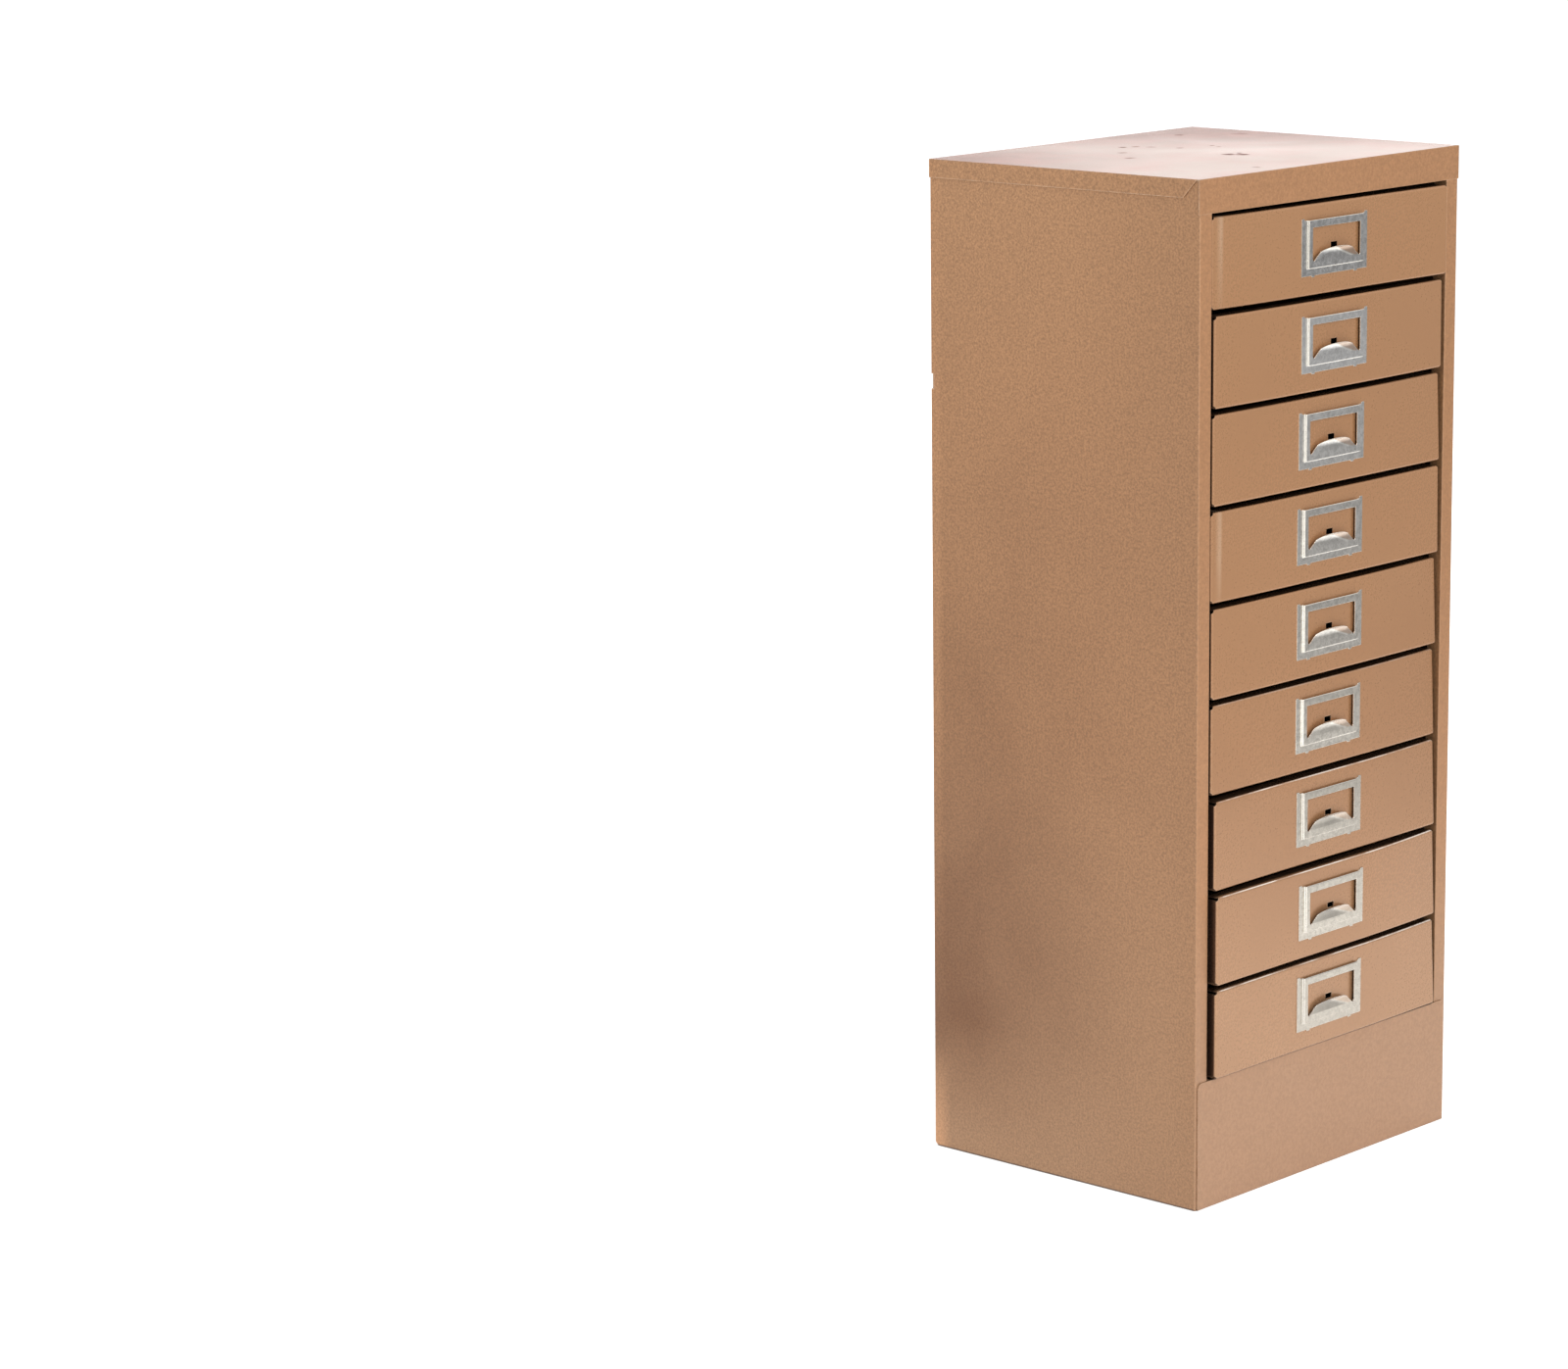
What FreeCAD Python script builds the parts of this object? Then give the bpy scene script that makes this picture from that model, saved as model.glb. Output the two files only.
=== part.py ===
"""Card catalog cabinet: a folded sheet-steel case with nine inset drawers.

Frame: +Z up, the front faces -Y, +X is to the right of someone facing the front. The origin is on
the floor, under the middle of the whole object's box. Sizes are millimetres. Drawers count from the top.
"""
import FreeCAD, Part
import math
import os
import re

import Sketcher

DRAWERS = 9

# Driving dimensions, each a named cell of the sheet.
SIZES = {
    # case
    "body_width": 386.0,
    "panel_depth": 314.0,
    "overall_height": 940.0,
    "plate": 1.2,
    "bend": 1.2,
    "stile": 17.0,
    "stile_return": 14.0,
    "stile_round": 1.0,
    "rear_flange": 17.0,
    "foot_flange": 15.0,
    "foot_clip": 4.0,
    "fit_gap": 0.2,
    # lid
    "lid_plate": 1.0,
    "lid_side": 17.0,
    "lid_front": 31.0,
    "lid_round": 0.8,
    "mitre_open": 2.4,
    # kick plate and the pan above it
    "kick_height": 119.5,
    "kick_inset": 2.5,
    "kick_round": 5.0,
    "pan_level": 112.0,
    # notch in the left rear edge
    "nick_level": 728.0,
    "nick_height": 14.0,
    "nick_depth": 3.5,
    "nick_width": 8.0,
    # drawers
    "first_drawer": 120.5,
    "drawer_pitch": 87.75,
    "gauge": 1.0,
    "front_width": 343.0,
    "front_height": 82.5,
    "front_fold": 14.0,
    "front_bend": 2.2,
    "front_clip": 3.5,
    "tray_length": 300.0,
    "tray_height": 75.0,
    "lug_at": 225.0,
    "lug_reach": 11.0,
    "lug_level": 30.0,
    "lug_height": 20.0,
    "slot_width": 9.5,
    "slot_height": 5.0,
    "slot_level": 41.0,
    # runners and stop channels
    "runner_start": 30.0,
    "runner_length": 268.0,
    "runner_ledge": 34.0,
    "runner_web": 7.5,
    "runner_clip": 6.0,
    "slide_gap": 0.4,
    "channel_at": 110.0,
    "channel_width": 22.0,
    "channel_foot": 150.0,
    "channel_height": 740.0,
    # label-holder pull
    "pull_width": 98.0,
    "pull_height": 50.5,
    "pull_level": 18.0,
    "pull_gauge": 0.8,
    "label_raise": 2.4,
    "ridge_side": 8.0,
    "ridge_foot": 6.8,
    "ridge_round": 0.9,
    "window_side": 13.3,
    "window_foot": 13.0,
    "window_top": 6.8,
    "window_round": 2.5,
    "lip_rise": 4.6,
    "lip_radius": 9.0,
    "lip_reach": 7.0,
    "lip_base": 67.0,
    "lip_crown": 46.0,
    "lip_shoulder": 8.4,
    "lip_height": 11.8,
    "tab_at": 29.5,
    "tab_width": 4.5,
    "tab_drop": 1.4,
    "ear_width": 4.0,
    # screws of the back panel
    "screw_radius": 3.2,
    "screw_head": 1.1,
    "screw_shank": 1.5,
    "screw_length": 6.0,
    "screw_play": 0.2,
    # how far each drawer stands open at rest
    "ajar_1": 1.5,
    "ajar_2": 2.7,
    "ajar_3": 0.7,
    "ajar_4": 0.0,
    "ajar_5": 0.7,
    "ajar_6": 0.3,
    "ajar_7": 2.3,
    "ajar_8": 6.2,
    "ajar_9": 5.0,
}

# Positions that several pieces share, as formulas of the cells.
HALF = "body_width / 2"
CASE_FRONT = "(ajar_8 + lip_reach - panel_depth - screw_head) / 2"
LID_EDGE = "body_width / 2 + fit_gap + lid_plate"
OPENING_TOP = "overall_height - lid_front"
SIDE_TOP = "overall_height - lid_plate - fit_gap"
OPENING_EDGE = "body_width / 2 - stile"
BACK_FACE = "panel_depth - plate - gauge"
TRAY_EDGE = "front_width / 2 - gauge"

doc = FreeCAD.newDocument("card_catalog_cabinet")
dims = doc.addObject("Spreadsheet::Sheet", "Dims")
for row, (alias, size) in enumerate(SIZES.items(), 1):
    dims.set(f"A{row}", alias)
    dims.set(f"B{row}", str(size))
    dims.setAlias(f"B{row}", alias)
doc.recompute()

nodes = []


def bound(formula):
    """A formula of cell names, in the form an expression needs."""
    return re.sub(r"[a-z_][a-z_0-9]*", lambda name: "Dims." + name.group(0), formula)


def negative(formula):
    return f"-({formula})"


def new_body(label, ahead="0", level="0"):
    """An empty body whose zero is on the case's front plane, moved ahead and up."""
    body = doc.addObject("PartDesign::Body", label)
    body.Label = label
    body.setExpression("Placement.Base.y", bound(f"{CASE_FRONT} - ({ahead})"))
    body.setExpression("Placement.Base.z", bound(level))
    nodes.append(body)
    return body


def new_sketch(body, role, offset="0"):
    """A sketch on one of the body's own planes, offset along that plane's normal."""
    sketch = body.newObject("Sketcher::SketchObject", "Sketch")
    plane = next(feature for feature in body.Origin.OriginFeatures if feature.Role == role)
    sketch.AttachmentSupport = [(plane, "")]
    sketch.MapMode = "FlatFace"
    if offset != "0":
        sketch.setExpression("AttachmentOffset.Base.z", bound(offset))
    return sketch


def place_point(sketch, geometry, end, across, up):
    """Dimension one sketch point from the sketch's origin."""
    drawn = sketch.getPoint(geometry, end)
    measures = (("DistanceX", across, -2, drawn.x), ("DistanceY", up, -1, drawn.y))
    for kind, formula, axis, start in measures:
        if formula == "0":
            sketch.addConstraint(Sketcher.Constraint("PointOnObject", geometry, end, axis))
        else:
            index = sketch.addConstraint(Sketcher.Constraint(kind, -1, 1, geometry, end, start))
            sketch.setExpression(f"Constraints[{index}]", bound(formula))


def outline(body, role, points, offset="0"):
    """A closed outline of straight lines, each corner dimensioned from the origin."""
    sketch = new_sketch(body, role, offset)
    count = len(points)
    turns = [2 * math.pi * i / count for i in range(count)]
    start = [FreeCAD.Vector(math.cos(turn), math.sin(turn), 0) for turn in turns]
    for i in range(count):
        sketch.addGeometry(Part.LineSegment(start[i], start[(i + 1) % count]))
    for i in range(count):
        sketch.addConstraint(Sketcher.Constraint("Coincident", i, 2, (i + 1) % count, 1))
    for i, (across, up) in enumerate(points):
        place_point(sketch, i, 1, across, up)
    return sketch


def rectangle(body, role, low, high, offset="0"):
    corners = [low, (high[0], low[1]), high, (low[0], high[1])]
    return outline(body, role, corners, offset)


def extrude(body, sketch, kind, length, reverse):
    feature = body.newObject(f"PartDesign::{kind}", kind)
    feature.Profile = sketch
    feature.setExpression("Length", bound(length))
    feature.Reversed = reverse
    return feature


def pad(body, sketch, length, reverse=False, middle=False):
    """Add material along the sketch's normal: +Z from XY, -Y from XZ and +X from YZ."""
    feature = extrude(body, sketch, "Pad", length, reverse)
    feature.Midplane = middle
    doc.recompute()


def pocket(body, sketch, length, reverse=False):
    """Cut against the sketch's normal: -Z from XY, +Y from XZ and -X from YZ."""
    before = body.Shape.Volume
    extrude(body, sketch, "Pocket", length, reverse)
    doc.recompute()
    if body.Shape.Volume > before - 0.1:
        raise RuntimeError(f"a pocket of {body.Label} cuts nothing")


def fillet(body, radius, chosen):
    """Round the edges of the body's last feature that the test chooses."""
    base = body.Tip
    names = [f"Edge{i}" for i, edge in enumerate(base.Shape.Edges, 1) if chosen(edge.BoundBox)]
    if not names:
        raise RuntimeError(f"no edge to round on {body.Label}")
    feature = body.newObject("PartDesign::Fillet", "Fillet")
    feature.Base = (base, names)
    feature.setExpression("Radius", bound(radius))
    doc.recompute()
    if "Invalid" in feature.State:
        raise RuntimeError(f"a fillet of {body.Label} failed")


def screw_places():
    """Across and up for each screw of the back panel, one row down each side."""
    spacing = "overall_height / 5"
    return [(side("body_width / 2 - rear_flange / 2"), f"({step} + 0.5) * {spacing}")
            for side in (negative, str) for step in range(5)]


def screw_holes(body, places, face, depth):
    """Clearance holes for the shanks, cut backward from a plane that lies this far behind the front."""
    sketch = new_sketch(body, "XZ_Plane", negative(face))
    for number, (across, up) in enumerate(places):
        sketch.addGeometry(Part.Circle(FreeCAD.Vector(1, 1 + 10 * number, 0), FreeCAD.Vector(0, 0, 1), 1.0))
        place_point(sketch, number, 3, across, up)
        index = sketch.addConstraint(Sketcher.Constraint("Radius", number, 1.0))
        sketch.setExpression(f"Constraints[{index}]", bound("screw_shank + screw_play"))
    pocket(body, sketch, depth)


def same(first, second):
    return abs(first - second) < 0.01


def cell(alias):
    return float(dims.get(alias))


def along_z(box, x, y):
    """Whether an edge stands upright at this place."""
    upright = same(box.XMin, box.XMax) and same(box.YMin, box.YMax) and box.ZLength > 1
    return upright and same(box.XMin, x) and same(box.YMin, y)


def build_side_panel(label, side):
    """A side with its front stile, the stile's return, a rear flange and a foot flange.

    side is a function that puts a distance from the middle on the left or on the right.
    """
    sign = -1 if side is negative else 1
    body = new_body(label)
    inner = f"{HALF} - plate"
    edge = f"{OPENING_EDGE} + plate"
    profile = [
        (HALF, "0"), (HALF, "panel_depth"), (f"{HALF} - rear_flange", "panel_depth"),
        (f"{HALF} - rear_flange", "panel_depth - plate"), (inner, "panel_depth - plate"),
        (inner, "plate"), (edge, "plate"), (edge, "stile_return"),
        (OPENING_EDGE, "stile_return"), (OPENING_EDGE, "0"),
    ]
    pad(body, outline(body, "XY_Plane", [(side(x), y) for x, y in profile]), SIDE_TOP)
    half = cell("body_width") / 2
    fillet(body, "bend", lambda box: along_z(box, sign * half, 0))
    fillet(body, "bend", lambda box: along_z(box, sign * half, cell("panel_depth")))
    fillet(body, "stile_round", lambda box: along_z(box, sign * (half - cell("stile")), 0))

    foot = rectangle(body, "XY_Plane", (side(f"{HALF} - foot_flange"), "stile_return + 2"),
                     (side(f"{HALF} - plate / 2"), "panel_depth - plate / 2"))
    pad(body, foot, "plate")

    # The lid's front flange takes the place of the stile above the opening.
    within = side(f"{OPENING_EDGE} - 1")
    for outside, behind in ((f"{HALF} + 1", "plate"), (inner, "stile_return + 1")):
        room = rectangle(body, "XY_Plane", (side(outside), "-1"), (within, behind), OPENING_TOP)
        pocket(body, room, "lid_front", reverse=True)

    clip = [
        ("panel_depth + 1", "-1"), ("panel_depth + 1", "foot_clip"), ("panel_depth", "foot_clip"),
        ("panel_depth - foot_clip", "0"), ("panel_depth - foot_clip", "-1"),
    ]
    cut = outline(body, "YZ_Plane", clip, side(f"{HALF} - rear_flange - 1"))
    pocket(body, cut, "rear_flange + 3", reverse=(sign > 0))
    places = screw_places()
    screw_holes(body, places[5:] if sign > 0 else places[:5], "panel_depth - plate - 1", "plate + 2")
    return body


def build_lid():
    """A shallow pan turned down over the case, deeper in front, where it is the top rail.

    Each side flange ends in an open mitre at the front. The rear edge is plain.
    """
    body = new_body("top_pan")
    top = rectangle(body, "XY_Plane", (negative(LID_EDGE), "0"), (LID_EDGE, "panel_depth"),
                    "overall_height - lid_plate")
    pad(body, top, "lid_plate")
    front = rectangle(body, "XZ_Plane", (negative(LID_EDGE), OPENING_TOP), (LID_EDGE, "overall_height"))
    pad(body, front, "lid_plate", reverse=True)
    flange = [
        ("lid_plate + mitre_open", "overall_height - lid_plate / 2"),
        ("lid_side + 1.6", "overall_height - lid_side"),
        ("panel_depth", "overall_height - lid_side"),
        ("panel_depth", "overall_height - lid_plate / 2"),
    ]
    for side in (negative(LID_EDGE), f"{LID_EDGE} - lid_plate"):
        pad(body, outline(body, "YZ_Plane", flange, side), "lid_plate")
    top_level = cell("overall_height")
    rear = cell("panel_depth")
    fillet(body, "lid_round", lambda box: same(box.ZMin, top_level) and same(box.ZMax, top_level)
           and max(box.XLength, box.YLength) > 100 and not same(box.YMin, rear))


def build_back():
    """A flat sheet behind the rear flanges of the sides, on the inside."""
    body = new_body("back_panel")
    edge = f"{HALF} - plate - fit_gap"
    sheet = rectangle(body, "XZ_Plane", (negative(edge), "foot_clip + plate"), (edge, SIDE_TOP),
                      negative(BACK_FACE))
    pad(body, sheet, "gauge", reverse=True)
    screw_holes(body, screw_places(), f"{BACK_FACE} - 1", "gauge + 2")


def build_kick_plate():
    """The plate across the foot, lapped over the stiles, with returns at its top and foot."""
    body = new_body("kick_plate")
    edge = f"{HALF} - kick_inset"
    pad(body, rectangle(body, "XZ_Plane", (negative(edge), "0"), (edge, "kick_height")), "plate")
    half = cell("body_width") / 2 - cell("kick_inset")
    high = cell("kick_height")
    fillet(body, "kick_round", lambda box: same(box.ZMin, high) and same(box.ZMax, high)
           and same(abs(box.XMin), half) and box.XLength < 0.01)
    between = f"{OPENING_EDGE} - fit_gap"
    for low in ("0", "kick_height - plate"):
        fold = rectangle(body, "XY_Plane", (negative(between), negative("plate / 2")),
                         (between, "stile_return"), low)
        pad(body, fold, "plate")


def build_pan():
    """The pan that closes the case under the lowest drawer."""
    body = new_body("bottom_pan")
    edge = f"{HALF} - plate - fit_gap"
    sheet = rectangle(body, "XY_Plane", (negative(edge), "stile_return + 2"), (edge, f"{BACK_FACE} - 1"),
                      "pan_level")
    pad(body, sheet, "plate")
    for side in (negative(edge), f"{edge} - plate"):
        wall = rectangle(body, "YZ_Plane", ("stile_return + 2", "pan_level - foot_flange"),
                         (f"{BACK_FACE} - 1", "pan_level + plate / 2"), side)
        pad(body, wall, "plate")


def build_channel(label, side):
    """An upright hat channel on the back panel, which every closed drawer meets."""
    body = new_body(label, level="channel_foot")
    far = "channel_at + channel_width"
    near = "tray_length + gauge + slide_gap"
    profile = [
        ("channel_at", near), (far, near), (far, BACK_FACE), (f"{far} - plate", BACK_FACE),
        (f"{far} - plate", f"{near} + plate"), ("channel_at + plate", f"{near} + plate"),
        ("channel_at + plate", BACK_FACE), ("channel_at", BACK_FACE),
    ]
    pad(body, outline(body, "XY_Plane", [(side(x), y) for x, y in profile]), "channel_height")


def drawer_level(number):
    """Height of the lower edge of a drawer front."""
    return f"first_drawer + {DRAWERS - number} * drawer_pitch"


def build_runner(label, side, number):
    """An angle on the case side: a ledge under the drawer's tray and a web that hangs from it."""
    body = new_body(label, level=drawer_level(number))
    wall = f"{HALF} - plate"
    top = "gauge - slide_gap"
    profile = [
        (wall, top), (f"{wall} - runner_ledge", top), (f"{wall} - runner_ledge", f"{top} - plate"),
        (f"{wall} - plate", f"{top} - plate"), (f"{wall} - plate", f"{top} - runner_web"),
        (wall, f"{top} - runner_web"),
    ]
    sketch = outline(body, "XZ_Plane", [(side(x), z) for x, z in profile], negative("runner_start"))
    pad(body, sketch, "runner_length", reverse=True)
    corner = [
        (side(f"{wall} - runner_ledge - 1"), "runner_start - 1"),
        (side(f"{wall} - runner_ledge + runner_clip"), "runner_start - 1"),
        (side(f"{wall} - runner_ledge + runner_clip"), "runner_start"),
        (side(f"{wall} - runner_ledge"), "runner_start + runner_clip"),
        (side(f"{wall} - runner_ledge - 1"), "runner_start + runner_clip"),
    ]
    pocket(body, outline(body, "XY_Plane", corner, "1"), "plate + 1")


def build_front(number):
    """A drawer front: a shallow pan open to the rear, its four corners clipped, with a slot."""
    body = new_body(f"drawer_{number}_front", f"ajar_{number}", drawer_level(number))
    edge = "front_width / 2"
    block = rectangle(body, "XZ_Plane", (negative(edge), "0"), (edge, "front_height"))
    pad(body, block, "front_fold", reverse=True)
    inside = rectangle(body, "XZ_Plane", (negative(TRAY_EDGE), "gauge"),
                       (TRAY_EDGE, "front_height - gauge"), negative("gauge"))
    pocket(body, inside, "front_fold")
    fillet(body, "front_bend", lambda box: same(box.YMin, 0) and same(box.YMax, 0))
    ends = (("0", "front_clip", "-1"), ("front_height", "front_height - front_clip", "front_height + 1"))
    for side in (negative, str):
        for level, step, past in ends:
            corner = [
                (side(f"{edge} + 1"), step), (side(edge), step), (side(f"{edge} - front_clip"), level),
                (side(f"{edge} - front_clip"), past), (side(f"{edge} + 1"), past),
            ]
            pocket(body, outline(body, "XZ_Plane", corner, "1"), "front_fold + 2")
    slot = rectangle(body, "XZ_Plane", ("-slot_width / 2", "slot_level"),
                     ("slot_width / 2", "slot_level + slot_height"), "1")
    pocket(body, slot, "gauge + 2")


def build_tray(number):
    """A drawer's tray: a floor, two sides and a rear wall behind the front, with a stop lug on each side."""
    body = new_body(f"drawer_{number}_tray", f"ajar_{number}", drawer_level(number))
    rear = "tray_length + gauge"
    inner = f"{TRAY_EDGE} - gauge"
    block = rectangle(body, "XY_Plane", (negative(TRAY_EDGE), "gauge"), (TRAY_EDGE, rear), "gauge")
    pad(body, block, "tray_height")
    inside = rectangle(body, "XY_Plane", (negative(inner), "0"), (inner, f"{rear} - gauge"), "2 * gauge")
    pocket(body, inside, "tray_height", reverse=True)
    for side, sign in ((negative, -1), (str, 1)):
        window = rectangle(body, "YZ_Plane", ("lug_at + gauge", "lug_level"),
                           ("lug_at + lug_reach", "lug_level + lug_height"), side(f"{TRAY_EDGE} - gauge - 1"))
        pocket(body, window, "gauge + 2", reverse=(sign > 0))
        lug = rectangle(body, "XZ_Plane", (side(f"{TRAY_EDGE} - gauge / 2"), "lug_level"),
                        (side(f"{TRAY_EDGE} + lug_reach"), "lug_level + lug_height"), negative("lug_at"))
        pad(body, lug, "gauge", reverse=True)


def lip_profile(body):
    """The curl at the top of the lip's section: two arcs that start upright and turn forward."""
    sketch = new_sketch(body, "YZ_Plane")
    foot = cell("window_foot") + cell("lip_rise")
    centre = FreeCAD.Vector(-cell("label_raise") - cell("lip_radius"), foot, 0)
    outer = cell("lip_radius")
    inner = outer - cell("pull_gauge")
    turn = math.acos((-cell("lip_reach") - centre.x) / inner)
    up = FreeCAD.Vector(0, 0, 1)
    for radius in (outer, inner):
        sketch.addGeometry(Part.ArcOfCircle(Part.Circle(centre, up, radius), 0, turn))
    point = [sketch.getPoint(arc, end) for arc, end in ((0, 1), (1, 1), (0, 2), (1, 2))]
    sketch.addGeometry(Part.LineSegment(point[0], point[1]))
    sketch.addGeometry(Part.LineSegment(point[2], point[3]))
    for line, end in ((2, 1), (3, 2)):
        sketch.addConstraint(Sketcher.Constraint("Coincident", line, 1, 0, end))
        sketch.addConstraint(Sketcher.Constraint("Coincident", line, 2, 1, end))
    sketch.addConstraint(Sketcher.Constraint("Coincident", 0, 3, 1, 3))
    place_point(sketch, 0, 3, "-label_raise - lip_radius", "window_foot + lip_rise")
    sketch.addConstraint(Sketcher.Constraint("Horizontal", 2))
    sketch.addConstraint(Sketcher.Constraint("PointOnObject", 0, 3, 3))
    for arc, formula in ((0, "lip_radius"), (1, "lip_radius - pull_gauge")):
        index = sketch.addConstraint(Sketcher.Constraint("Radius", arc, 10.0 + arc))
        sketch.setExpression(f"Constraints[{index}]", bound(formula))
    index = sketch.addConstraint(Sketcher.Constraint("DistanceX", -1, 1, 1, 2, -cell("lip_reach")))
    sketch.setExpression(f"Constraints[{index}]", bound("-lip_reach"))
    return sketch


def lip_trim(body):
    """The outline cut away above the lip: sloping ends and a low arch between them."""
    sketch = new_sketch(body, "XZ_Plane", "lip_reach + 1")
    base = cell("lip_base") / 2
    crown = cell("lip_crown") / 2
    foot = cell("window_foot")
    shoulder = foot + cell("lip_shoulder")
    crest = foot + cell("lip_height")
    ceiling = crest + 5
    corners = [(base, ceiling), (-base, ceiling), (-base, foot), (-crown, shoulder)]
    points = [FreeCAD.Vector(x, z, 0) for x, z in corners]
    points.append(FreeCAD.Vector(crown, shoulder, 0))
    points.append(FreeCAD.Vector(base, foot, 0))
    for first, second in ((0, 1), (1, 2), (2, 3), (4, 5), (5, 0)):
        sketch.addGeometry(Part.LineSegment(points[first], points[second]))
    sketch.addGeometry(Part.Arc(points[3], FreeCAD.Vector(0, crest, 0), points[4]))
    for first, second in ((0, 1), (1, 2), (3, 4), (4, 0)):
        sketch.addConstraint(Sketcher.Constraint("Coincident", first, 2, second, 1))
    arc_left = 2 if sketch.getPoint(5, 2).x < 0 else 1
    sketch.addConstraint(Sketcher.Constraint("Coincident", 2, 2, 5, arc_left))
    sketch.addConstraint(Sketcher.Constraint("Coincident", 3, 1, 5, 3 - arc_left))
    above = "window_foot + lip_height + 5"
    place_point(sketch, 0, 1, "lip_base / 2", above)
    place_point(sketch, 1, 1, "-lip_base / 2", above)
    place_point(sketch, 2, 1, "-lip_base / 2", "window_foot")
    place_point(sketch, 4, 1, "lip_base / 2", "window_foot")
    place_point(sketch, 2, 2, "-lip_crown / 2", "window_foot + lip_shoulder")
    place_point(sketch, 3, 1, "lip_crown / 2", "window_foot + lip_shoulder")
    index = sketch.addConstraint(Sketcher.Constraint("Radius", 5, 60.0))
    rise = "(lip_height - lip_shoulder)"
    bow = f"(lip_crown * lip_crown / 4 + {rise} * {rise}) / (2 * {rise})"
    sketch.setExpression(f"Constraints[{index}]", bound(bow))
    return sketch


def build_pull(number):
    """A stamped label holder whose lower bar rises into a finger lip."""
    body = new_body(f"drawer_{number}_pull", f"ajar_{number}", f"{drawer_level(number)} + pull_level")
    edge = "pull_width / 2"
    ridge = "pull_width / 2 - ridge_side"
    pad(body, rectangle(body, "XZ_Plane", (negative(edge), "0"), (edge, "pull_height")), "pull_gauge")
    raised = rectangle(body, "XZ_Plane", (negative(ridge), "ridge_foot"), (ridge, "pull_height"))
    pad(body, raised, "label_raise + pull_gauge")

    half = cell("pull_width") / 2 - cell("ridge_side")
    low = cell("ridge_foot")
    for depth in (cell("label_raise") + cell("pull_gauge"), cell("pull_gauge")):
        fillet(body, "ridge_round", lambda box: same(box.YMin, -depth) and same(box.YMax, -depth)
               and (same(abs(box.XMin), half) or same(box.ZMax, low)) and box.ZMax > low - 0.01
               and box.XMax < half + 0.01 and box.XMin > -half - 0.01)

    inner = f"{ridge} - pull_gauge"
    hollow = rectangle(body, "XZ_Plane", (negative(inner), "ridge_foot + pull_gauge"),
                       (inner, "pull_height + 1"), "label_raise")
    pocket(body, hollow, "label_raise + 1")
    window = rectangle(body, "XZ_Plane", (negative(f"{edge} - window_side"), "window_foot"),
                       (f"{edge} - window_side", "pull_height - window_top"),
                       "label_raise + pull_gauge + 1")
    pocket(body, window, "pull_gauge + 2")
    side = cell("pull_width") / 2 - cell("window_side")
    foot = cell("window_foot")
    fillet(body, "window_round", lambda box: same(abs(box.XMin), side) and same(box.ZMin, foot)
           and box.XLength < 0.01 and box.ZLength < 0.01)

    riser = rectangle(body, "YZ_Plane", ("-label_raise - pull_gauge", "window_foot - pull_gauge"),
                      ("-label_raise", "window_foot + lip_rise"))
    pad(body, riser, "lip_base", middle=True)
    pad(body, lip_profile(body), "lip_base", middle=True)
    pocket(body, lip_trim(body), "lip_reach + 1")
    for side in (negative, str):
        tab = rectangle(body, "XZ_Plane", (side("tab_at"), negative("tab_drop")),
                        (side("tab_at + tab_width"), "0"))
        pad(body, tab, "pull_gauge")
        ear = rectangle(body, "XZ_Plane", (side(f"{edge} - ear_width"), "pull_height"),
                        (side(edge), "pull_height + tab_drop"))
        pad(body, ear, "pull_gauge")


def build_screws():
    """The screws that hold the back panel to the rear flanges."""
    radius = cell("screw_radius")
    head = cell("screw_head")
    shank = cell("screw_shank")
    length = cell("screw_length")
    section = [
        (0, head), (0.55 * radius, 0.95 * head), (radius, 0.35 * head), (radius, 0), (shank, 0),
        (shank, -length), (0, -length - shank),
    ]
    points = [FreeCAD.Vector(x, y, 0) for x, y in section]
    face = Part.Face(Part.makePolygon(points + points[:1]))
    screw = face.revolve(FreeCAD.Vector(0, 0, 0), FreeCAD.Vector(0, 1, 0), 360)
    side = cell("body_width") / 2 - cell("rear_flange") / 2
    spacing = cell("overall_height") / 5
    copies = []
    for sign in (-1, 1):
        for step in range(5):
            place = FreeCAD.Vector(sign * side, cell("panel_depth"), spacing / 2 + step * spacing)
            copies.append(screw.translated(place))
    body = doc.addObject("Part::Feature", "back_screws")
    body.Label = "back_screws"
    body.Shape = Part.makeCompound(copies)
    body.setExpression("Placement.Base.y", bound(CASE_FRONT))
    nodes.append(body)


left_panel = build_side_panel("left_side_panel", negative)
nick = rectangle(left_panel, "YZ_Plane", ("panel_depth - nick_depth", "nick_level"),
                 ("panel_depth + 1", "nick_level + nick_height"), negative(f"{HALF} - nick_width"))
pocket(left_panel, nick, "nick_width + 1")
build_side_panel("right_side_panel", str)
build_lid()
build_back()
build_kick_plate()
build_pan()
for hand, place in (("left", negative), ("right", str)):
    build_channel(f"{hand}_stop_channel", place)
    for drawer in range(1, DRAWERS + 1):
        build_runner(f"{hand}_runner_{drawer}", place, drawer)
for drawer in range(1, DRAWERS + 1):
    build_front(drawer)
    build_tray(drawer)
    build_pull(drawer)
build_screws()
doc.recompute()

for item in doc.Objects:
    if "Invalid" in item.State or "Error" in item.State:
        raise RuntimeError(f"{item.Name} failed: {item.State}")
for item in nodes:
    if item.Shape.isNull() or not item.Shape.isValid():
        raise RuntimeError(f"{item.Label} has no valid shape")

os.makedirs("parts", exist_ok=True)
for item in nodes:
    item.Shape.exportStep(f"parts/{item.Label}.step")
print(len(nodes), "parts")
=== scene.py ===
import math

import bmesh
import bpy
from mathutils import Matrix, Vector


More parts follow.
